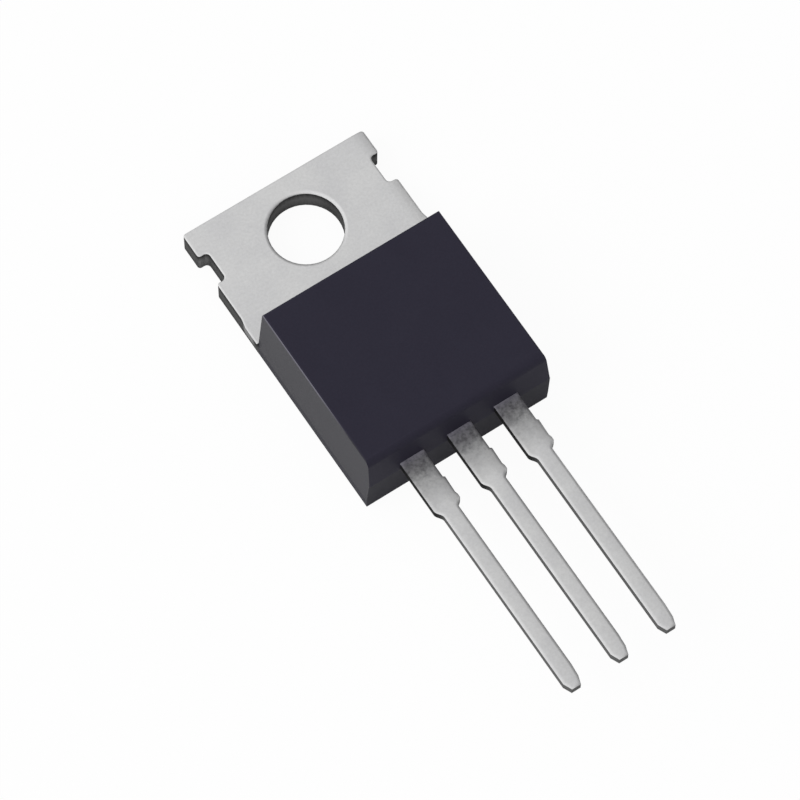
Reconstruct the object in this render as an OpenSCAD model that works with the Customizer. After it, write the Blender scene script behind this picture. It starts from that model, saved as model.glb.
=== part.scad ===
// Three-lead voltage regulator in a TO-220 package, lying on its metal back.
// Origin: axis of the mounting hole, on the seating face. +Z is out of the front
// face, +Y towards the top of the tab, the leads point along -Y. Millimetres.

/* [Tab] */
// Width of the metal tab
tab_w = 9.95; // [9.4:0.05:10.2]
// Thickness of the tab and of the pad under the die
tab_t = 1.27; // [1.0:0.01:1.5]
// From the centre of the hole to the top edge of the tab
hole_to_top = 2.83; // [2.6:0.01:3.2]
// From the centre of the hole to the moulded body
hole_to_body = 3.67; // [3.4:0.01:4.5]
// Length of the ear above each notch
ear_l = 1.37; // [1.0:0.01:1.7]
// Length of each notch in the tab's sides
notch_l = 1.58; // [1.0:0.01:1.9]
// Depth of each notch
notch_d = 0.51; // [0.3:0.01:0.7]
// Radius in the inner corners of a notch
notch_r = 0.22; // [0.05:0.01:0.28]
// Length of the sheared tie bar beside the body
tie_l = 1.44; // [0.9:0.01:1.6]
// Length over which the tie bar's shear runs out into the side
tie_ramp = 0.5; // [0.1:0.05:0.8]
// How far the sheared tie bar stands out of the tab's side
tie_out = 0.1; // [0.02:0.01:0.2]
// Thickness of the sheared tie bar
tie_t = 0.62; // [0.3:0.01:0.9]

/* [Mounting hole] */
// Diameter of the hole, for an M3 screw
hole_d = 3.6; // [3.2:0.05:3.9]
// Die roll round the front rim of the hole
hole_roll = 0.08; // [0.02:0.01:0.15]

/* [Moulded body] */
// How far the body stands out past each side of the tab
body_proud = 0.02; // [0.01:0.01:0.2]
// Length of the body at the parting line, without the tab
body_l = 9.15; // [8.6:0.05:9.6]
// Height of the front face above the seating face
body_t = 4.44; // [4.2:0.01:4.7]
// Height of the parting line along the sides
part_h = 0.8; // [0.5:0.05:1.0]
// Length of the ramp that takes the parting line up to the leads
ramp_l = 1.1; // [0.6:0.05:1.6]
// Step between the two mould halves
part_step = 0.03; // [0.01:0.01:0.06]
// Sideways mismatch of the back mould half, towards the left
mould_shift = 0.03; // [0:0.01:0.06]
// Draft of the sides in the front half, in degrees
side_draft = 3.2; // [1:0.1:6]
// Draft of the end towards the tab, in degrees
tab_end_draft = 2.4; // [1:0.1:6]
// Draft of the end with the leads, in degrees
lead_end_draft = 7.7; // [2:0.1:10]
// Draft all round the back half, in degrees
back_draft = 1.7; // [0.5:0.1:4]
// Radius of the front edge above the leads
lead_edge_r = 0.45; // [0.2:0.05:0.8]
// Radius of the other front edges
front_edge_r = 0.12; // [0.05:0.01:0.25]
// Diameter of the two ejector marks in the back
ejector_d = 1.5; // [0.8:0.1:1.8]
// Depth of the ejector marks
ejector_depth = 0.06; // [0.02:0.01:0.12]

/* [Leads] */
// Distance between neighbouring leads
pitch = 2.54; // [2.5:0.01:2.6]
// Thickness of the leads
lead_t = 0.5; // [0.4:0.01:0.6]
// Height of the leads' back above the seating face
lead_h = 2.4; // [2.2:0.01:2.6]
// Length of the leads from the body to the tips
lead_l = 13.08; // [10:0.01:14.5]
// Width of the leads below the shoulder
lead_w = 0.86; // [0.6:0.01:0.95]
// Width of the leads next to the body
shank_w = 1.35; // [1.15:0.01:1.5]
// Length of the wide part, from the body to the shoulder
shank_l = 2.69; // [2.4:0.01:3.4]
// Length of the shoulder where the lead narrows
shoulder_l = 0.5; // [0.3:0.01:0.7]
// How much the right edge is trimmed back next to the body
trim = 0.06; // [0.01:0.01:0.08]
// Length of the trimmed edge
trim_l = 1.47; // [1.0:0.01:1.9]
// How far the sheared dam bar stands out of the right edge
dam_out = 0.045; // [0.01:0.005:0.1]
// Length of the dam bar's stump along the lead
dam_l = 0.15; // [0.1:0.01:0.25]
// Length of the shoulder below the stump
dam_shoulder_l = 0.38; // [0.2:0.01:0.6]
// Width of the end of a lead
tip_w = 0.47; // [0.3:0.01:0.5]
// Length of the tip's bevel
tip_l = 0.42; // [0.3:0.01:0.6]
// How far the right edge tapers in above the tip's bevel
taper_in = 0.05; // [0.01:0.01:0.08]
// From the tip to the start of that taper
taper_l = 1.05; // [0.8:0.05:1.5]

/* [Pad in the body] */
// From the body's end with the leads to the pad
pad_in = 3.15; // [2.9:0.05:3.4]
// Resin between the pad and each side of the body
pad_wall = 0.52; // [0.3:0.01:0.8]
// Undercut round the pad's back that locks it in the resin
lock_in = 0.4; // [0.2:0.05:0.6]
// Height of the undercut
lock_h = 0.55; // [0.3:0.05:0.8]
// Depth of the groove that stops moisture behind the body's edge
groove_depth = 0.25; // [0.1:0.01:0.4]
// From the body's edge to the middle of the groove
groove_at = 0.75; // [0.5:0.05:1.2]
// Straight run between the pad and the bend of the centre lead
bend_run = 0.25; // [0.1:0.05:0.4]
// Inner radius of the two bends in the centre lead
bend_r = 0.3; // [0.15:0.05:0.35]
// Angle of the bends, in degrees
bend_a = 60; // [50:1:70]

/* [Bond posts] */
// Width of the post at the inner end of each outer lead
post_w = 2.3; // [1.8:0.05:2.5]
// Length of the post
post_l = 1.5; // [1.0:0.05:1.7]
// From the end of the body to the post
post_in = 0.55; // [0.4:0.05:0.9]
// How far the post is shifted outwards from its lead
post_out = 0.35; // [0:0.05:0.45]

/* [Die and wires] */
// Width of the die
die_w = 2.2; // [1.8:0.05:3.0]
// Length of the die
die_l = 1.9; // [1.5:0.05:2.4]
// Thickness of the die
die_t = 0.28; // [0.2:0.01:0.4]
// From the end of the pad to the die
die_at = 1.5; // [1.3:0.05:2.0]
// Thickness of the solder under the die
solder_t = 0.05; // [0.03:0.01:0.1]
// Rim of solder round the die
solder_rim = 0.12; // [0.05:0.01:0.2]
// Diameter of the aluminium bond wires
wire_d = 0.2; // [0.12:0.01:0.25]
// Angle at which a wire leaves the line between its two bonds, in degrees
loop_a = 40; // [30:1:45]
// Length of a wire's pressed foot
foot_l = 0.5; // [0.4:0.01:0.55]
// Width of a foot
foot_w = 0.28; // [0.26:0.01:0.35]
// Thickness of a foot
foot_t = 0.12; // [0.08:0.01:0.15]
// From the die's edges to the middle of a bond
bond_in = 0.35; // [0.3:0.01:0.45]

/* [Hidden] */
$fn = 64;
cut = 0.5;                                  // how far a cutting tool overshoots
steps = 8;                                  // chords in a drawn curve
body_w = tab_w + 2 * body_proud;            // at the parting line
pad_w = body_w - 2 * pad_wall;
wide = 2 * body_w;                          // longer than the body in any direction
top_y = hole_to_top;
body_y = -hole_to_body;                     // the body's end towards the tab
lead_y = body_y - body_l;                   // the body's end with the leads
pad_y = lead_y + pad_in;
notch_y = top_y - ear_l - notch_l;
lead_top = lead_h + lead_t;
die_y = pad_y + die_at + die_l / 2;
die_top = tab_t + solder_t + die_t;
post_y = lead_y + post_in + post_l / 2;
post_x = pitch + post_out;
die_bond = [die_w / 2 - bond_in, die_y - die_l / 2 + bond_in, die_top];
post_bond = [post_x, post_y, lead_top];
pad_bond = [0, pad_y + foot_l, tab_t];
ejector_at = [(body_w / 2 + shank_w) / 2, (pad_y + lead_y) / 2];
bend_m = bend_r + lead_t / 2;               // to the lead's middle line
bend_up = lead_top - tab_t;
slope_l = (bend_up - 2 * bend_m * (1 - cos(bend_a))) / sin(bend_a);
bend_end = bend_run + 2 * bend_m * sin(bend_a) + slope_l * cos(bend_a);

// Outlines drawn as (y, z), extruded along X, and as (x, z), extruded along Y
module across() { rotate([90, 0, 90]) linear_extrude(wide, center = true) children(); }
module along() { rotate([90, 0, 0]) linear_extrude(4 * wide, center = true) children(); }

// The rounded top right corner of an outline, from its top to its side. The side
// under the corner p leans outwards by the draft.
function rounded(p, r, draft) = [for (i = [0 : steps])
    let (a = 90 - (90 - draft) * i / steps)
        p + r * [cos(a) - 1 / cos(draft) + tan(draft), sin(a) - 1]];
function mirrored(points) = [for (i = [len(points) - 1 : -1 : 0]) [-points[i][0], points[i][1]]];

// Front half of the mould, seen from the side
module front_side_view() {
    tab_end = body_y - (body_t - tab_t) * tan(tab_end_draft);
    lead_end = lead_y + (body_t - lead_h) * tan(lead_end_draft);
    polygon(concat(
        rounded([tab_end, body_t], front_edge_r, tab_end_draft),
        [[body_y, tab_t], [body_y, part_h], [lead_y + ramp_l, part_h], [lead_y, lead_h]],
        mirrored(rounded([-lead_end, body_t], lead_edge_r, lead_end_draft))));
}

// Front half of the mould, seen from the leads
module front_end_view() {
    low = body_w / 2;
    high = low - (body_t - part_h) * tan(side_draft);
    edge = rounded([high, body_t], front_edge_r, side_draft);
    polygon(concat(edge, [[low, part_h], [-low, part_h]], mirrored(edge)));
}

// Back half of the mould: it reaches up the ramp to the back of the leads
module back_side_view() {
    end = lead_y + part_step;
    polygon([[body_y, 0], [body_y, part_h], [lead_y + ramp_l, part_h], [end, lead_h],
             [end + lead_h * tan(back_draft), 0]]);
}

module back_end_view() {
    at_part = body_w / 2 - part_step;
    low = at_part - part_h * tan(back_draft);
    translate([-mould_shift, 0])
        polygon([[-low, 0], [low, 0], [at_part, part_h], [at_part, lead_h],
                 [-at_part, lead_h], [-at_part, part_h]]);
}

module resin() {
    intersection() { across() front_side_view(); along() front_end_view(); }
    intersection() { across() back_side_view(); along() back_end_view(); }
}

// One notch, in from the right-hand side of the tab, with round inner corners
module notch() {
    x = tab_w / 2 - notch_d;
    translate([x + notch_r, notch_y]) square([notch_d + cut, notch_l]);
    translate([x, notch_y + notch_r]) square([2 * notch_r, notch_l - 2 * notch_r]);
    for (y = [notch_y + notch_r, notch_y + notch_l - notch_r])
        translate([x + notch_r, y]) circle(notch_r);
}

module tab() {
    difference() {
        linear_extrude(tab_t) difference() {
            translate([-tab_w / 2, body_y]) square([tab_w, top_y - body_y]);
            for (side = [0, 1]) mirror([side, 0]) notch();
        }
        translate([0, 0, -cut]) cylinder(d = hole_d, h = tab_t + 2 * cut);
        translate([0, 0, tab_t - hole_roll])
            cylinder(d1 = hole_d, d2 = hole_d + 4 * hole_roll, h = 2 * hole_roll);
    }
    for (side = [0, 1]) mirror([side, 0, 0])
        translate([tab_w / 2, body_y, tab_t - tie_t]) linear_extrude(tie_t)
            polygon([[-tie_out, 0], [tie_out, 0], [tie_out, tie_l - tie_ramp], [0, tie_l],
                     [-tie_out, tie_l]]);
}

// The part of the tab that the resin grips, with the die soldered on it
module pad() {
    difference() {
        translate([-pad_w / 2, pad_y, 0]) cube([pad_w, body_y - pad_y + cut, tab_t]);
        for (side = [0, 1]) mirror([side, 0, 0])
            translate([pad_w / 2 - lock_in, pad_y - cut, -cut])
                cube([lock_in + cut, body_y - pad_y + cut, lock_h + cut]);
        translate([-pad_w / 2 - cut, pad_y - cut, -cut])
            cube([pad_w + 2 * cut, lock_in + cut, lock_h + cut]);
        translate([0, body_y - groove_at, tab_t]) rotate([45, 0, 0])
            cube([pad_w + 2 * cut, groove_depth * sqrt(2), groove_depth * sqrt(2)], center = true);
    }
}

// Points on the centre lead's two bends as (run, rise), at a turn a and radius r
function bend_low(a, r) = [bend_run + r * sin(a), bend_m - r * cos(a)];
function bend_high(a, r) = [bend_end - r * sin(a), bend_up - bend_m + r * cos(a)];

// Side view of the centre lead as (run, rise) from the end of the pad
module centre_lead_profile() {
    thin = bend_m - lead_t / 2;
    thick = bend_m + lead_t / 2;
    a = [for (i = [0 : steps]) bend_a * i / steps];
    b = [for (i = [0 : steps]) bend_a * (1 - i / steps)];
    end = pad_in + lead_t;
    polygon(concat(
        [[-lead_t, -lead_t / 2]], [for (t = a) bend_low(t, thick)],
        [for (t = b) bend_high(t, thin)], [[end, bend_up - lead_t / 2]],
        [[end, bend_up + lead_t / 2]], [for (t = a) bend_high(t, thick)],
        [for (t = b) bend_low(t, thin)], [[-lead_t, lead_t / 2]]));
}

// Plan of a lead outside the body, from the end of the body at y = 0 downwards. The
// right edge carries the sheared stump of the dam bar; both edges have a shoulder.
function shoulder(from, to, l) = [for (i = [0 : steps])
    [(from + to) / 2 + (from - to) / 2 * cos(180 * i / steps), -shank_l - l * i / steps]];
module lead_plan() {
    s = shank_w / 2;
    w = lead_w / 2;
    stump = s + dam_out;
    polygon(concat(
        [[s - trim, 0], [s - trim, -trim_l], [s + trim / 2, -trim_l - trim],
         [s, -shank_l + 2 * dam_l], [stump, -shank_l + dam_l]],
        shoulder(stump, w, dam_shoulder_l),
        [[w, -lead_l + taper_l], [w - taper_in, -lead_l + tip_l], [tip_w / 2, -lead_l]],
        mirrored(concat(shoulder(s, w, shoulder_l), [[w, -lead_l + tip_l], [tip_w / 2, -lead_l]])),
        [[-s, 0]]));
}

module lead_blank() { translate([0, lead_y, lead_h]) linear_extrude(lead_t) lead_plan(); }

// Outer lead, on the left for side -1 or the right for 1, with the inner post that
// its wire is bonded to. Both leads have their sheared edge on the right.
module outer_lead(side) {
    color("#BDBDBD") {
        translate([side * pitch, 0, 0]) lead_blank();
        translate([side * pitch - shank_w / 2, lead_y - lead_t, lead_h])
            cube([shank_w - trim, lead_t + post_in + post_l / 2, lead_t]);
        translate([side * post_x - post_w / 2, lead_y + post_in, lead_h])
            cube([post_w, post_l, lead_t]);
    }
}

// A wire in an arc from bond p to bond q, with a foot pressed flat on each
module bond_wire(p, q) {
    run = norm([q[0] - p[0], q[1] - p[1]]);
    chord = norm(q - p);
    r = chord / 2 / sin(loop_a);
    translate(p + [0, 0, wire_d / 2]) rotate([0, 0, atan2(q[1] - p[1], q[0] - p[0])]) {
        rotate([90, 0, 0]) rotate(atan2(q[2] - p[2], run))
            translate([chord / 2, -r * cos(loop_a)]) rotate(90 - loop_a)
                rotate_extrude(angle = 2 * loop_a) translate([r, 0]) circle(d = wire_d);
        for (at = [[0, 0], [run, q[2] - p[2]]])
            translate([at[0] - foot_l / 2, -foot_w / 2, at[1] - wire_d / 2])
                cube([foot_l, foot_w, foot_t]);
    }
}

module tab_and_centre_lead() {
    color("#C4C4C6") {
        tab();
        pad();
        translate([-trim / 2, pad_y, tab_t - lead_t / 2]) rotate([90, 0, -90])
            linear_extrude(shank_w - trim, center = true) centre_lead_profile();
        lead_blank();
    }
}

module input_lead() { outer_lead(-1); }

module output_lead() { outer_lead(1); }

module regulator_die() {
    color("#5C6070") translate([-die_w / 2, die_y - die_l / 2, tab_t + solder_t])
        cube([die_w, die_l, die_t]);
}

module die_solder() {
    color("#9A9CA0") translate([-die_w / 2 - solder_rim, die_y - die_l / 2 - solder_rim, tab_t])
        cube([die_w + 2 * solder_rim, die_l + 2 * solder_rim, solder_t]);
}

module output_wire() { color("#D8D8DC") bond_wire(die_bond, post_bond); }

module input_wire() { color("#D8D8DC") mirror([1, 0, 0]) bond_wire(die_bond, post_bond); }

module ground_wire() {
    color("#D8D8DC") bond_wire([0, die_bond[1], die_top], pad_bond);
}

module moulded_body() {
    color("#302E38") difference() {
        resin();
        tab_and_centre_lead();
        input_lead();
        output_lead();
        regulator_die();
        die_solder();
        input_wire();
        output_wire();
        ground_wire();
        for (side = [-1, 1]) translate([side * ejector_at[0], ejector_at[1], -cut])
            cylinder(d = ejector_d, h = cut + ejector_depth);
    }
}

moulded_body();
tab_and_centre_lead();
input_lead();
output_lead();
regulator_die();
die_solder();
input_wire();
output_wire();
ground_wire();
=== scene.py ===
import math

import bmesh
import bpy
from mathutils import Matrix, Vector


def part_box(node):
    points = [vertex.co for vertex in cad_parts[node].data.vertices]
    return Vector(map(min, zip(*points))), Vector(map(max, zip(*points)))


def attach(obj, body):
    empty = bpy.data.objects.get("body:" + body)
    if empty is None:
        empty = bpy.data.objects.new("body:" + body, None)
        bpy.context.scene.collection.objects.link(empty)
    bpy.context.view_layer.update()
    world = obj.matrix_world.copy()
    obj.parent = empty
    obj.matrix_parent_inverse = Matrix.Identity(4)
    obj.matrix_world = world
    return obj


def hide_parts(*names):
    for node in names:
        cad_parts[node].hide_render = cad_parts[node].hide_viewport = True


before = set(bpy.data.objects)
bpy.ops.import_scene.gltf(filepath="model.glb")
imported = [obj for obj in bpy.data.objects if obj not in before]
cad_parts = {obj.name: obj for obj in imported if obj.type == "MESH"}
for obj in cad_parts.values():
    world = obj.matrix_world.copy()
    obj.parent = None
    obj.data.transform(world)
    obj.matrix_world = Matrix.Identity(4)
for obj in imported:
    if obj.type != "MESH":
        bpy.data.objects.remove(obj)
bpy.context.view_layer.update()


# Camera. The photograph looks down on the front face from 67 degrees, turned 34
# degrees so that the leads run to the lower right, through a long lens.
MM = 0.001                                         # the scene is in metres
IMAGE_PX = 800
FOCAL_PX = 4851
SENSOR_MM = 36
CAMERA_TURN, CAMERA_HEIGHT, CAMERA_ROLL = -34.45, 66.97, 1.16      # degrees
LOOK_AT = Vector((-1.12, -9.60, 1.30)) * MM
CAMERA_DISTANCE = 221.1 * MM
CLIP_START = 10 * MM

turn = (Matrix.Rotation(math.radians(CAMERA_TURN), 4, "Z")
        @ Matrix.Rotation(math.radians(90 - CAMERA_HEIGHT), 4, "X")
        @ Matrix.Rotation(math.radians(CAMERA_ROLL), 4, "Z"))
camera = bpy.data.objects.new("camera", bpy.data.cameras.new("camera"))
camera.data.sensor_width = SENSOR_MM
camera.data.lens = SENSOR_MM * FOCAL_PX / IMAGE_PX
camera.data.clip_start = CLIP_START
camera.matrix_world = (Matrix.Translation(LOOK_AT) @ turn
                       @ Matrix.Translation((0, 0, CAMERA_DISTANCE)))
bpy.context.scene.collection.objects.link(camera)
bpy.context.scene.camera = camera
bpy.context.scene.view_settings.view_transform = "Standard"


# Studio. A white room with a broad softbox at the upper left, so that the light falls
# off towards the lower right and the metal mirrors that fall. The part lies on a sheet
# of white paper, which stays white to the camera and keeps the soft shadow.
LIGHT_FROM = Vector((-0.75, 0.10, 0.65)).normalized()
ROOM_DARK, ROOM_BRIGHT = 0.20, 1.05                # seen away from the light, and towards it
DARK_UNTIL, BRIGHT_FROM = -0.48, 0.89              # cosines of the angle from the light
ROOM_ON_MATT = 0.90                                # what matt surfaces get of the room
SHEET_SIZE = 1.2                                   # metres, as the softbox's sizes are
SHEET_TO_CAMERA, SHEET_TO_GLOSS = 0.95, 0.25       # how much of it is its own white
SOFTBOX_SIZE, SOFTBOX_WATTS, SOFTBOX_DISTANCE = 0.30, 1.0, 0.50


def linear(hex_colour):
    """An sRGB hex value as linear RGBA."""
    srgb = [int(hex_colour[i:i + 2], 16) / 255 for i in (1, 3, 5)]
    return [c / 12.92 if c <= 0.04045 else ((c + 0.055) / 1.055) ** 2.4 for c in srgb] + [1]


def add(tree, kind, settings=None, stops=(), **inputs):
    """One shader node with its settings and colour stops. Each input is a value or a
    link, and is named as its socket is, or _0, _1 and so on by the socket's number."""
    node = tree.nodes.new("ShaderNode" + kind)
    for name, value in (settings or {}).items():
        setattr(node, name, value)
    if stops:
        marks = node.color_ramp.elements
        marks.remove(marks[1])
        marks[0].position, marks[0].color = stops[0][0], linear(stops[0][1])
        for place, colour in stops[1:]:
            marks.new(place).color = linear(colour)
    for name, value in inputs.items():
        key = int(name[1:]) if name[1:].isdigit() else name.replace("_", " ")
        socket = node.inputs[key]
        if isinstance(value, bpy.types.NodeSocket):
            tree.links.new(value, socket)
        else:
            socket.default_value = value
    return node


def new_tree(name):
    """An empty material of this name, and its node tree."""
    material = bpy.data.materials.new(name)
    material.use_nodes = True
    material.node_tree.nodes.clear()
    return material, material.node_tree


def seen_in_gloss(tree):
    """1 for rays that come off a glossy surface or through glass."""
    path = add(tree, "LightPath").outputs
    return add(tree, "Math", {"operation": "MAXIMUM"},
               _0=path["Is Glossy Ray"], _1=path["Is Transmission Ray"]).outputs[0]


world = bpy.data.worlds.new("studio")
bpy.context.scene.world = world
world.use_nodes = True
tree = world.node_tree
tree.nodes.clear()
towards = add(tree, "VectorMath", {"operation": "DOT_PRODUCT"},
              _0=add(tree, "TexCoord").outputs["Generated"], _1=LIGHT_FROM).outputs["Value"]
shade = add(tree, "MapRange", _0=towards, _1=DARK_UNTIL, _2=BRIGHT_FROM,
            _3=ROOM_DARK, _4=ROOM_BRIGHT).outputs[0]
level = add(tree, "MapRange", _0=seen_in_gloss(tree), _3=ROOM_ON_MATT, _4=1.0).outputs[0]
shade = add(tree, "Math", {"operation": "MULTIPLY"}, _0=shade, _1=level).outputs[0]
shade = add(tree, "MapRange", _0=add(tree, "LightPath").outputs["Is Camera Ray"],
            _3=shade, _4=1.0).outputs[0]
room = add(tree, "Background", Color=linear("#FFFFFF"), Strength=shade)
tree.links.new(room.outputs[0], add(tree, "OutputWorld").inputs["Surface"])

bpy.ops.mesh.primitive_plane_add(size=SHEET_SIZE)
sheet = bpy.context.object
sheet.name = "floor"
material, tree = new_tree("white paper sheet")
paper = add(tree, "BsdfDiffuse", Color=linear("#F2F2F2"))
glow = add(tree, "Emission", Color=linear("#FFFFFF"), Strength=1.0)
white = add(tree, "Math", {"operation": "MULTIPLY"}, _0=seen_in_gloss(tree), _1=SHEET_TO_GLOSS)
white = add(tree, "MapRange", _0=add(tree, "LightPath").outputs["Is Camera Ray"],
            _3=white.outputs[0], _4=SHEET_TO_CAMERA)
mix = add(tree, "MixShader", _0=white.outputs[0], _1=paper.outputs[0], _2=glow.outputs[0])
tree.links.new(mix.outputs[0], add(tree, "OutputMaterial").inputs["Surface"])
sheet.data.materials.append(material)

softbox = bpy.data.objects.new("softbox", bpy.data.lights.new("softbox", "AREA"))
softbox.data.size = SOFTBOX_SIZE
softbox.data.energy = SOFTBOX_WATTS
softbox.location = LIGHT_FROM * SOFTBOX_DISTANCE
softbox.rotation_euler = (-LIGHT_FROM).to_track_quat("-Z", "Y").to_euler()
softbox.visible_glossy = False           # the metal mirrors the even room alone
bpy.context.scene.collection.objects.link(softbox)


# Tab and centre lead. One stamping of dual-gauge copper strip, tin plated: a thick tab
# with the screw hole, and a thin lead bent up out of it. The punch rolls the upper
# edges over and leaves the walls sheared, and the plating is dull at the lead's root.
TAB_TOP, TAB_HALF = 1.27 * MM, 4.975 * MM
LEAD_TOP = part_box("input_lead")[1][2]
TAB_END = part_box("moulded_body")[1][1]             # where the tab comes out of the body
LEAD_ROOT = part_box("moulded_body")[0][1]           # and where the leads do
SHANK_HALF, SHANK_END = 0.66 * MM, LEAD_ROOT - 2.6 * MM
NARROW_HALF, NARROW_START = 0.43 * MM, LEAD_ROOT - 3.1 * MM

TAB_ROLL, LEAD_ROLL = (0.10 * MM, 0.035 * MM), (0.16 * MM, 0.045 * MM)      # width and depth
ROLL_STEPS = 6
CORNER_R, CORNER_STEPS, CORNER_TURN = 0.14 * MM, 4, math.radians(60)
RIM_R, RIM_STEPS = 0.09 * MM, 4                    # softens the hole's own rolled rim
TAB_SINK, TAB_SINK_W = 0.075 * MM, 0.80 * MM       # at the right-hand edge, and how far in
LEAD_SINK = 0.060 * MM
SINK_POWER, SINK_CUTS = 3, 7
SINK_EASE = 0.35 * MM                              # the sink is full this far from the resin
SINK_REACH, SINK_STEP = 0.1 * MM, 0.0005 * MM      # how near the face, and the finest step

LEVEL, WALL, UPRIGHT = 0.99, 0.2, 0.9              # z of a top's normal, a wall's, and of an edge
RIM_SLOPE = (0.5, 0.9)                             # z of the normal beside the hole's rim
SAME, SAME_PLANE = 0.002 * MM, math.radians(0.5)   # closer than this is one place, or one plane
SMOOTH_BELOW = math.radians(40)


def join(distance):
    """Merges points this close and makes one face of the triangles in one plane."""
    bpy.ops.mesh.select_all(action="SELECT")
    bpy.ops.mesh.remove_doubles(threshold=distance)
    bpy.ops.mesh.dissolve_limited(angle_limit=SAME_PLANE)


def copy_of(node, name):
    """A joined copy of a CAD node's mesh, left in edit mode."""
    bpy.ops.object.select_all(action="DESELECT")
    piece = bpy.data.objects.new(name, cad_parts[node].data.copy())
    piece.data.materials.clear()
    bpy.context.scene.collection.objects.link(piece)
    bpy.context.view_layer.objects.active = piece
    piece.select_set(True)
    bpy.ops.mesh.customdata_custom_splitnormals_clear()
    bpy.ops.object.mode_set(mode="EDIT")
    join(SAME / 2)
    return piece


def pick(piece, kind, wanted):
    """Selects the piece's verts or edges for which wanted is true, and nothing else."""
    bpy.ops.mesh.select_mode(type={"verts": "VERT", "edges": "EDGE"}[kind])
    bpy.ops.mesh.select_all(action="DESELECT")
    mesh = bmesh.from_edit_mesh(piece.data)
    for element in getattr(mesh, kind):
        element.select_set(wanted(element))
    bmesh.update_edit_mesh(piece.data)


def cut(point, normal):
    """A loop of edges round the whole piece, in the plane through this point."""
    bpy.ops.mesh.select_all(action="SELECT")
    bpy.ops.mesh.bisect(plane_co=point, plane_no=normal)


def round_edges(piece, wanted, radius, steps):
    """Bevels the edges that wanted picks by their middle, run and two face normals, the
    lower normal first."""
    def chosen(edge):
        if len(edge.link_faces) != 2 or edge.calc_length() <= SAME:
            return False
        a, b = (v.co for v in edge.verts)
        normals = sorted((f.normal for f in edge.link_faces), key=lambda n: n.z)
        return wanted((a + b) / 2, (b - a).normalized(), *normals)

    pick(piece, "edges", chosen)
    bpy.ops.mesh.bevel(offset=radius, segments=steps, affect="EDGES")


def roll_edges(piece, top, roll):
    """Rolls over the rims at this height outside the body, wider than they are deep."""
    width, depth = roll
    round_edges(piece, lambda middle, run, wall, flat: (
        abs(middle.z - top) < SAME and flat.z > LEVEL and abs(wall.z) < WALL
        and (middle.y > TAB_END + SAME or middle.y < LEAD_ROOT)), width, ROLL_STEPS)
    bpy.ops.transform.resize(value=(1, 1, depth / width), center_override=(0, 0, top))


def ramp(value, start, end):
    """0 up to start, 1 from end on, and a straight run between."""
    return min(max((value - start) / (end - start), 0), 1)


def tab_sink(x, y):
    """How far the tab's upper face has sunk at this place."""
    return (TAB_SINK * ramp(x, TAB_HALF - TAB_SINK_W, TAB_HALF) ** SINK_POWER
            * ramp(y, TAB_END, TAB_END + SINK_EASE))


def lead_sink(x, y):
    """The same for a lead, with x from its middle line."""
    half = SHANK_HALF + (NARROW_HALF - SHANK_HALF) * ramp(y, SHANK_END, NARROW_START)
    return (LEAD_SINK * ramp(x, 0, half) ** SINK_POWER
            * ramp(y, LEAD_ROOT, LEAD_ROOT - SINK_EASE))


def sink_right(piece, top, start, end, across, sink):
    """Cuts the piece between x = start and end, and at each y of across. Then its upper
    face is lowered by sink(x, y)."""
    for y in across:
        cut((0, y, 0), (0, 1, 0))
    for i in range(SINK_CUTS):
        cut((start + (end - start) * i / SINK_CUTS, 0, 0), (1, 0, 0))
    depths = {}
    for vertex in bmesh.from_edit_mesh(piece.data).verts:
        if abs(vertex.co.z - top) < SINK_REACH:
            depth = round(sink(vertex.co.x, vertex.co.y) / SINK_STEP) * SINK_STEP
            depths.setdefault(depth, set()).add(vertex.index)
    for depth, lowered in depths.items():
        pick(piece, "verts", lambda vertex: vertex.index in lowered)
        bpy.ops.transform.translate(value=(0, 0, -depth))


def sink_lead(piece, middle):
    """Lowers a lead's upper face towards its right-hand edge."""
    sink_right(piece, LEAD_TOP, middle, middle + SHANK_HALF,
               (LEAD_ROOT - SINK_EASE, SHANK_END, NARROW_START),
               lambda x, y: lead_sink(x - middle, y))


def finish_piece(piece, material):
    """Back to object mode, with flats shaded flat and rounds smooth."""
    bpy.ops.object.mode_set(mode="OBJECT")
    bpy.ops.object.shade_smooth_by_angle(angle=SMOOTH_BELOW, keep_sharp_edges=True)
    flats = piece.modifiers.new("flats", "WEIGHTED_NORMAL")
    flats.keep_sharp = True
    bpy.ops.object.modifier_apply(modifier=flats.name)
    piece.data.materials.append(material)


# Tin plating is satin and light grey, with a fine grain from the rolled strip under it.
# It is darker, duller and spotted towards the lead's root, with a thin violet-grey
# band right at the body.
PLATING_GRAIN, BLOTCH_SIZE, SPOT_SIZE, CLOUD_SIZE = 0.14 * MM, 0.35 * MM, 0.24 * MM, 1.6 * MM
ROOT_HIDDEN, ROOT_SHOWN = 0.4 * MM, 3.2 * MM       # how far the darkening runs inside, and out
ROOT_WANDER = 0.5 * MM                             # how far its edge strays
WANDER_FROM, WANDER_FULL = 0.1 * MM, 0.5 * MM      # but not right at the body
ROOT_STOPS = ((0.0, "#EBEBEB"), (0.08, "#EBEBEB"), (0.095, "#AEABB7"), (0.13, "#A3A1AA"),
               (0.17, "#97969B"), (0.25, "#959497"), (0.35, "#A6A6A7"), (0.49, "#C4C4C4"),
               (0.64, "#CFCFCF"), (0.80, "#DDDDDD"), (0.90, "#E6E6E6"))
GRAIN_STOPS = ((0.30, "#F2F2F2"), (0.70, "#FFFFFF"))
SPOT_STOPS = ((0.36, "#C4C4C6"), (0.5, "#EAEAEA"), (0.62, "#FFFFFF"))
CLOUD_STOPS = ((0.35, "#F8F8F9"), (0.65, "#FFFFFF"))
DARK_NONE, DARK_FULL = 0.60, 0.25                # brightness of tin with no darkening, and with the most
SATIN_ROUGH, ROOT_ROUGH = (0.34, 0.48), 0.62
ROOT_ROUGH_AT, SATIN_ROUGH_AT = 0.15, 0.65        # the brightness that has each
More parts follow.
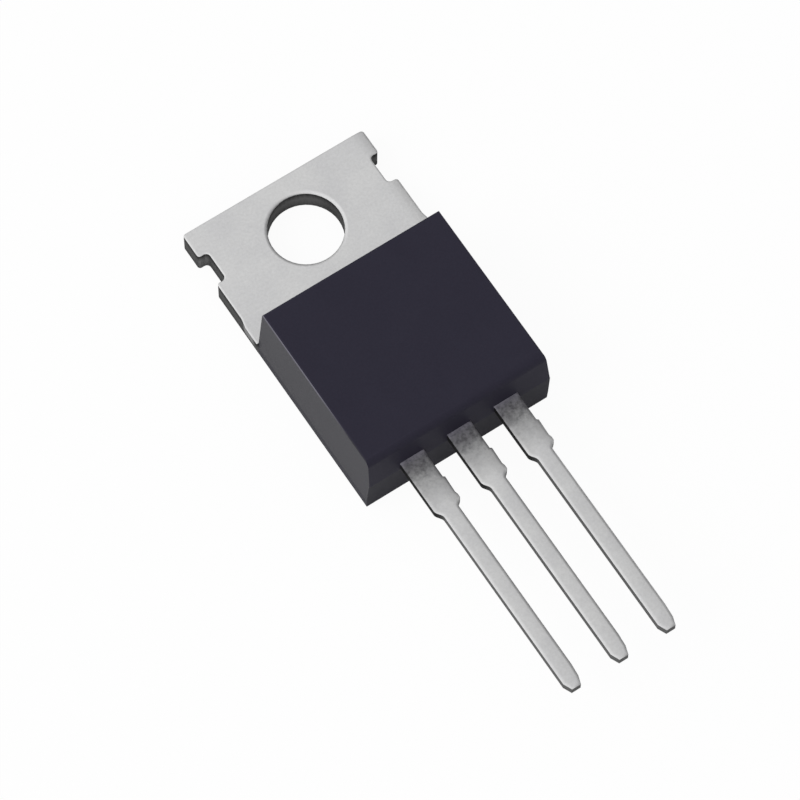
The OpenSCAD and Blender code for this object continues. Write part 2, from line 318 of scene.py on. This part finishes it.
GRAIN_BUMP, BLOTCH_BUMP, BUMP_HEIGHT = 0.30, 0.25, 0.01 * MM

# The sheared walls are rough and nearly black, with a torn band halfway up. They are
# paler on the narrow leads, and painted lighter where they face −y, most at the tips'
# ends, as painted light. Where a tie bar was cut they are bright, partly a fresh cut and
# partly a painted highlight.
WALL_FLAT, TOP_FLAT = 0.25, 0.60                   # z of the normal: all wall, all plating
SHEAR_STREAK, STREAK_LENGTH = 0.10 * MM, 0.12      # its size, and how it is drawn out in z
BAND_WAVER = 0.22 * MM
WALL_STOPS = ((0.0, "#363636"), (0.12, "#424242"), (0.24, "#4A4A4A"), (0.33, "#3A3A3A"),
              (0.40, "#1E1E1E"), (0.44, "#1A1A1A"), (0.80, "#222222"), (1.0, "#1A1A1A"))
FORWARD_WALL_LIGHT = 2.6                                  # painted light: how many times paler the walls that face −y most are
TIP_Y, FLANK_Y = -0.95, -0.35                      # y of the normals of an end and of a flank
NARROW_WALL, NARROW_FROM, NARROW_TO = "#5C5C5C", 2.9 * MM, 3.3 * MM
# The tie bar's cut face is lighter: partly fresh metal, partly a painted highlight.
CUT_WALL_AND_HIGHLIGHT, CUT_FROM, CUT_TO = "#7A7A7A", TAB_HALF + 0.03 * MM, TAB_HALF + 0.06 * MM
CUT_CLEAR_FROM, CUT_CLEAR_TO = TAB_END + 0.15 * MM, TAB_END + 0.40 * MM
WALL_METALLIC, WALL_ROUGH, METAL_SPECULAR = 0.20, 0.65, 0.05

tinned_copper, tree = new_tree("tin-plated copper, stamped")
where = add(tree, "TexCoord").outputs
place = add(tree, "SeparateXYZ", Vector=where["Object"]).outputs
tilt = add(tree, "SeparateXYZ", Vector=where["Normal"]).outputs
along_lead = add(tree, "Math", {"operation": "SUBTRACT"}, _0=LEAD_ROOT, _1=place["Y"]).outputs[0]
grain = add(tree, "TexNoise", Vector=where["Object"], Scale=1 / PLATING_GRAIN, Detail=3.0,
            Roughness=0.65).outputs["Fac"]
blotch = add(tree, "TexNoise", Vector=where["Object"], Scale=1 / BLOTCH_SIZE, Detail=4.0,
             Roughness=0.65).outputs["Fac"]
spots = add(tree, "TexNoise", Vector=where["Object"], Scale=1 / SPOT_SIZE, Detail=2.0,
            Roughness=0.7).outputs["Fac"]
cloud = add(tree, "TexNoise", Vector=where["Object"], Scale=1 / CLOUD_SIZE, Detail=4.0,
            Roughness=0.55).outputs["Fac"]

wander = add(tree, "MapRange", {"clamp": False}, _0=blotch,
             _3=-ROOT_WANDER, _4=ROOT_WANDER).outputs[0]
stretch = add(tree, "MapRange", _0=along_lead, _1=WANDER_FROM, _2=WANDER_FULL).outputs[0]
wander = add(tree, "Math", {"operation": "MULTIPLY"}, _0=wander, _1=stretch).outputs[0]
along = add(tree, "Math", {"operation": "ADD"}, _0=along_lead, _1=wander).outputs[0]
along = add(tree, "MapRange", _0=along, _1=-ROOT_HIDDEN, _2=ROOT_SHOWN).outputs[0]
plating = add(tree, "ValToRGB", stops=ROOT_STOPS, _0=along).outputs[0]
speckle = add(tree, "ValToRGB", stops=GRAIN_STOPS, _0=grain).outputs[0]
plating = add(tree, "MixRGB", {"blend_type": "MULTIPLY"},
              _0=1.0, _1=plating, _2=speckle).outputs[0]
darkened = add(tree, "MapRange", _0=plating, _1=DARK_NONE, _2=DARK_FULL).outputs[0]
mottle = add(tree, "ValToRGB", stops=SPOT_STOPS, _0=spots).outputs[0]
plating = add(tree, "MixRGB", {"blend_type": "MULTIPLY"},
              _0=darkened, _1=plating, _2=mottle).outputs[0]
drift = add(tree, "ValToRGB", stops=CLOUD_STOPS, _0=cloud).outputs[0]
plating = add(tree, "MixRGB", {"blend_type": "MULTIPLY"}, _0=1.0, _1=plating, _2=drift).outputs[0]

streaky = add(tree, "Mapping", Vector=where["Object"], Scale=(1, 1, STREAK_LENGTH)).outputs[0]
streak = add(tree, "TexNoise", Vector=streaky, Scale=1 / SHEAR_STREAK, Detail=3.0,
             Roughness=0.6).outputs["Fac"]
waver = add(tree, "MapRange", {"clamp": False}, _0=streak,
            _3=-BAND_WAVER, _4=BAND_WAVER).outputs[0]
height = add(tree, "Math", {"operation": "ADD"}, _0=place["Z"], _1=waver).outputs[0]
height = add(tree, "MapRange", _0=height, _2=LEAD_TOP).outputs[0]
wall = add(tree, "ValToRGB", stops=WALL_STOPS, _0=height).outputs[0]
# Painted light: walls that turn towards −y are made paler, the tips' ends most.
forward_light = add(tree, "MapRange", _0=tilt["Y"], _1=TIP_Y, _2=FLANK_Y,
              _3=FORWARD_WALL_LIGHT, _4=1.0).outputs[0]
wall = add(tree, "VectorMath", {"operation": "SCALE"}, _0=wall, Scale=forward_light).outputs[0]
narrow = add(tree, "MapRange", _0=along_lead, _1=NARROW_FROM, _2=NARROW_TO).outputs[0]
wall = add(tree, "MixRGB", _0=narrow, _1=wall, _2=linear(NARROW_WALL)).outputs[0]
aside = add(tree, "Math", {"operation": "ABSOLUTE"}, _0=place["X"]).outputs[0]
# The tie bar's cut face gets a lighter colour, partly fresh metal and partly a painted
# highlight, stopping short of the body.
tie_bar_highlight = add(tree, "MapRange", _0=aside, _1=CUT_FROM, _2=CUT_TO).outputs[0]
clear = add(tree, "MapRange", _0=place["Y"], _1=CUT_CLEAR_FROM, _2=CUT_CLEAR_TO).outputs[0]
tie_bar_highlight = add(tree, "Math", {"operation": "MULTIPLY"}, _0=tie_bar_highlight, _1=clear).outputs[0]
wall = add(tree, "MixRGB", _0=tie_bar_highlight, _1=wall, _2=linear(CUT_WALL_AND_HIGHLIGHT)).outputs[0]

flat = add(tree, "Math", {"operation": "ABSOLUTE"}, _0=tilt["Z"]).outputs[0]
sheared = add(tree, "MapRange", _0=flat, _1=WALL_FLAT, _2=TOP_FLAT, _3=1.0, _4=0.0).outputs[0]
colour = add(tree, "MixRGB", _0=sheared, _1=plating, _2=wall).outputs[0]
metallic = add(tree, "MapRange", _0=sheared, _3=1.0, _4=WALL_METALLIC).outputs[0]
satin = add(tree, "MapRange", {"clamp": False}, _0=grain,
            _3=SATIN_ROUGH[0], _4=SATIN_ROUGH[1]).outputs[0]
dull = add(tree, "MapRange", _0=plating, _1=ROOT_ROUGH_AT, _2=SATIN_ROUGH_AT,
           _3=ROOT_ROUGH, _4=satin).outputs[0]
rough = add(tree, "MapRange", _0=sheared, _3=dull, _4=WALL_ROUGH).outputs[0]
bump = add(tree, "Bump", Height=grain, Strength=GRAIN_BUMP, Distance=BUMP_HEIGHT).outputs[0]
bump = add(tree, "Bump", Height=blotch, Strength=BLOTCH_BUMP, Distance=BUMP_HEIGHT,
           Normal=bump).outputs[0]
metal = add(tree, "BsdfPrincipled", Base_Color=colour, Metallic=metallic, Roughness=rough,
            Specular_IOR_Level=METAL_SPECULAR, Normal=bump)
tree.links.new(metal.outputs[0], add(tree, "OutputMaterial").inputs["Surface"])

stamping = copy_of("tab_and_centre_lead", "stamped_tab_and_centre_lead")
cut((0, LEAD_ROOT, 0), (0, 1, 0))
round_edges(stamping, lambda middle, run, low, high: (
    abs(run.z) > UPRIGHT and middle.y > TAB_END + SAME and low.angle(high) > CORNER_TURN),
    CORNER_R, CORNER_STEPS)
round_edges(stamping, lambda middle, run, low, high: (
    abs(middle.z - TAB_TOP) < SAME and high.z > LEVEL and middle.y > TAB_END
    and RIM_SLOPE[0] < low.z < RIM_SLOPE[1]), RIM_R, RIM_STEPS)
roll_edges(stamping, TAB_TOP, TAB_ROLL)
roll_edges(stamping, LEAD_TOP, LEAD_ROLL)
sink_right(stamping, TAB_TOP, TAB_HALF - TAB_SINK_W, TAB_HALF, (TAB_END + SINK_EASE,), tab_sink)
sink_lead(stamping, 0)
finish_piece(stamping, tinned_copper)
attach(stamping, "root")
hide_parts("tab_and_centre_lead")


# Input and output leads. Cut from the thin part of the same tinned strip, with wide
# shanks where the dam bar was trimmed away and tapered tips. Only the resin holds them.
LEAD_PITCH = 2.54 * MM
for node, middle in (("input_lead", -LEAD_PITCH), ("output_lead", LEAD_PITCH)):
    lead = copy_of(node, "stamped_" + node)
    cut((0, LEAD_ROOT, 0), (0, 1, 0))
    roll_edges(lead, LEAD_TOP, LEAD_ROLL)
    sink_lead(lead, middle)
    finish_piece(lead, tinned_copper)
    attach(lead, "root")
    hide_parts(node)


# Die solder. A thin sheet of soft lead-tin solder, melted under the chip to carry its
# heat into the tab: dull grey, with the frosted grain of slow cooling.
FROST_GRAIN, FROST_HEIGHT = 0.10 * MM, 0.005 * MM
material, tree = new_tree("soft solder, melted and frosted")
where = add(tree, "TexCoord").outputs["Object"]
frost = add(tree, "TexVoronoi", Vector=where, Scale=1 / FROST_GRAIN).outputs["Distance"]
tone = add(tree, "ValToRGB", stops=((0.0, "#8E9093"), (0.6, "#A3A5A8")), _0=frost).outputs[0]
rough = add(tree, "MapRange", _0=frost, _3=0.40, _4=0.55).outputs[0]
bump = add(tree, "Bump", Height=frost, Strength=0.3, Distance=FROST_HEIGHT).outputs[0]
solder = add(tree, "BsdfPrincipled", Base_Color=tone, Metallic=1.0, Roughness=rough, Normal=bump)
tree.links.new(solder.outputs[0], add(tree, "OutputMaterial").inputs["Surface"])
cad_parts["die_solder"].data.materials.clear()
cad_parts["die_solder"].data.materials.append(material)


# Regulator die. A sawn chip of silicon, polished dark blue-grey, with the pale aluminium
# tracks of the circuit on its upper face.
TRACK_PITCH = 0.12 * MM
TRACK_GAP, TRACK_SHIFT = 0.08, 0.37                # as shares of the pitch
POLISH_HAZE = 0.3 * MM
FACE_UP = 0.9                                      # z of the normal of the upper face
material, tree = new_tree("silicon chip with aluminium tracks")
where = add(tree, "TexCoord").outputs
up = add(tree, "SeparateXYZ", Vector=where["Normal"]).outputs["Z"]
cells = add(tree, "TexBrick", {"offset": TRACK_SHIFT}, Vector=where["Object"],
            Color1=linear("#8C8F96"), Color2=linear("#5D626E"), Mortar=linear("#3C4250"),
            Scale=1 / TRACK_PITCH, Mortar_Size=TRACK_GAP).outputs["Color"]
face = add(tree, "Math", {"operation": "GREATER_THAN"}, _0=up, _1=FACE_UP).outputs[0]
tone = add(tree, "MixRGB", _0=face, _1=linear("#4A5060"), _2=cells).outputs[0]
haze = add(tree, "TexNoise", Vector=where["Object"], Scale=1 / POLISH_HAZE).outputs["Fac"]
rough = add(tree, "MapRange", _0=haze, _3=0.18, _4=0.30).outputs[0]
silicon = add(tree, "BsdfPrincipled", Base_Color=tone, Roughness=rough, IOR=3.4)
tree.links.new(silicon.outputs[0], add(tree, "OutputMaterial").inputs["Surface"])
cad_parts["regulator_die"].data.materials.clear()
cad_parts["regulator_die"].data.materials.append(material)


# Bond wires. Drawn aluminium wire, welded by ultrasound from the chip to the posts of
# the outer leads and down to the tab: bright, with faint drawing lines along it.
DRAWING_LINE, DRAWN_OUT = 0.03 * MM, 0.05          # its width, and how it is drawn out in y
material, tree = new_tree("drawn aluminium wire")
where = add(tree, "TexCoord").outputs["Object"]
drawn = add(tree, "Mapping", Vector=where, Scale=(1, DRAWN_OUT, 1)).outputs[0]
lines = add(tree, "TexNoise", Vector=drawn, Scale=1 / DRAWING_LINE, Detail=2.0).outputs["Fac"]
tone = add(tree, "ValToRGB", stops=((0.3, "#D2D2D4"), (0.7, "#DEDEDF")), _0=lines).outputs[0]
rough = add(tree, "MapRange", _0=lines, _3=0.25, _4=0.38).outputs[0]
wire = add(tree, "BsdfPrincipled", Base_Color=tone, Metallic=1.0, Roughness=rough)
tree.links.new(wire.outputs[0], add(tree, "OutputMaterial").inputs["Surface"])
for name in ("input_wire", "output_wire", "ground_wire"):
    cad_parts[name].data.materials.clear()
    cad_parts[name].data.materials.append(material)


# Moulded body. Black silica-filled epoxy, transfer moulded round the lead frame in two
# halves. The spark-eroded mould leaves it matt, with a faint violet cast. The drafted
# sides slide along the mould and come out smoother, so they catch a grey sheen.
MOULD_GRAIN = 0.09 * MM                            # really 0.03, too fine to show here
RESIN_FLOW = 2.5 * MM
ROUGH_SPREAD, MOULD_BUMP = 0.04, 0.25
HIGHLIGHT_FROM, HIGHLIGHT_TO = -8.5 * MM, -11.0 * MM         # where the long front edges have a painted highlight, fading out
EDGE_FROM, EDGE_FULL = 0.10, 0.25                  # z of the normal where an edge rounds over
PARTING_LINE, PARTING_END = 0.8 * MM, 2.4 * MM     # its height along the sides and at the leads
SIDE_AT_END = 4.90 * MM                            # just inside the drafted side up there
STEP_IN = (0.01 * MM, 0.05 * MM)                   # limits about the halves' step of 0.03
LIP_H = 0.05 * MM                                  # a little more than the lip is high
BACK_TILT = (-0.5, 0.02)                           # z of the normals of the back half's walls
SIDE_FACING = 0.75                                 # x of the normals of the drafted sides


def epoxy(name, colours, roughness, specular, edge=None):
    """One finish of the epoxy: its mottle, its sheen and the colour of the highlight
    painted on its rounded edges.
    """
    material, tree = new_tree(name)
    where = add(tree, "TexCoord").outputs
    grain = add(tree, "TexNoise", Vector=where["Object"], Scale=1 / MOULD_GRAIN, Detail=3.0,
                Roughness=0.6).outputs["Fac"]
    flow = add(tree, "TexNoise", Vector=where["Object"], Scale=1 / RESIN_FLOW, Detail=4.0,
               Distortion=0.6).outputs["Fac"]
    tone = add(tree, "ValToRGB", stops=((0.30, colours[0]), (0.70, colours[1])),
               _0=flow).outputs[0]
    speckle = add(tree, "ValToRGB", stops=((0.30, "#F0F0F2"), (0.70, "#FFFFFF")),
                  _0=grain).outputs[0]
    tone = add(tree, "MixRGB", {"blend_type": "MULTIPLY"}, _0=1.0, _1=tone, _2=speckle).outputs[0]
    # A painted highlight on the rounded edges, fading out along the length.
    if edge:
        tilt = add(tree, "SeparateXYZ", Vector=where["Normal"]).outputs["Z"]
        rounded = add(tree, "MapRange", _0=tilt, _1=EDGE_FROM, _2=EDGE_FULL).outputs[0]
        along = add(tree, "SeparateXYZ", Vector=where["Object"]).outputs["Y"]
        highlight_along = add(tree, "MapRange", _0=along, _1=HIGHLIGHT_TO, _2=HIGHLIGHT_FROM).outputs[0]
        rounded = add(tree, "Math", {"operation": "MULTIPLY"}, _0=rounded, _1=highlight_along).outputs[0]
        tone = add(tree, "MixRGB", _0=rounded, _1=tone, _2=linear(edge)).outputs[0]
    rough = add(tree, "MapRange", _0=grain,
                _3=roughness - ROUGH_SPREAD, _4=roughness + ROUGH_SPREAD).outputs[0]
    bump = add(tree, "Bump", Height=grain, Strength=MOULD_BUMP, Distance=BUMP_HEIGHT).outputs[0]
    shader = add(tree, "BsdfPrincipled", Base_Color=tone, Roughness=rough,
                 Specular_IOR_Level=specular, Normal=bump)
    tree.links.new(shader.outputs[0], add(tree, "OutputMaterial").inputs["Surface"])
    return material


def at_left_corner(vertex):
    """True at the back half's upper left corner, beside the front half's lip."""
    return (vertex.co.x < -SIDE_AT_END and STEP_IN[0] < vertex.co.y - LEAD_ROOT < STEP_IN[1]
            and -LIP_H < vertex.co.z - PARTING_END < SAME)


# Where the parting line runs up behind the leads, the back half is the wider one and
# sits a little to the left, so its corner there stands proud. It is drawn in to the
# lowest point of the front half's lip, which makes it flush with the drafted side.
housing = copy_of("moulded_body", "moulded_housing")
corner = [v.co.copy() for v in bmesh.from_edit_mesh(housing.data).verts if at_left_corner(v)]
pick(housing, "verts", at_left_corner)
bpy.ops.transform.resize(value=(0, 0, 0), center_override=min(corner, key=lambda co: co.z))
join(SAME)
pick(housing, "edges", lambda edge: all(abs(v.co.z - PARTING_LINE) < SAME for v in edge.verts))
bpy.ops.mesh.mark_sharp()

# The front, the back and the front half's ends are matt. The drafted sides have a grey
# sheen, and the back half's walls, which face slightly down, have hardly any. Those
# walls also carry painted shade: a darker colour.
finish_piece(housing, epoxy("epoxy, matte from the mould", ("#2C2A37", "#2E2C39"), 0.55, 0.12))
# The drafted sides carry a painted highlight on their rounded top edges.
housing.data.materials.append(epoxy("epoxy, smoothed on the drafted sides",
                                    ("#26252C", "#28272E"), 0.50, 0.26, edge="#63616B"))
# Painted shade: the back half's walls face slightly down and get a darker colour.
housing.data.materials.append(epoxy("epoxy, smoothed less in the back mould",
                                    ("#1E1D27", "#201F2A"), 0.52, 0.10))
MATT, SIDE, BACK = range(3)                        # the three finishes, in this order
for face in housing.data.polygons:
    if BACK_TILT[0] < face.normal.z < BACK_TILT[1]:
        face.material_index = BACK
    else:
        face.material_index = SIDE if abs(face.normal.x) > SIDE_FACING else MATT
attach(housing, "root")
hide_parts("moulded_body")
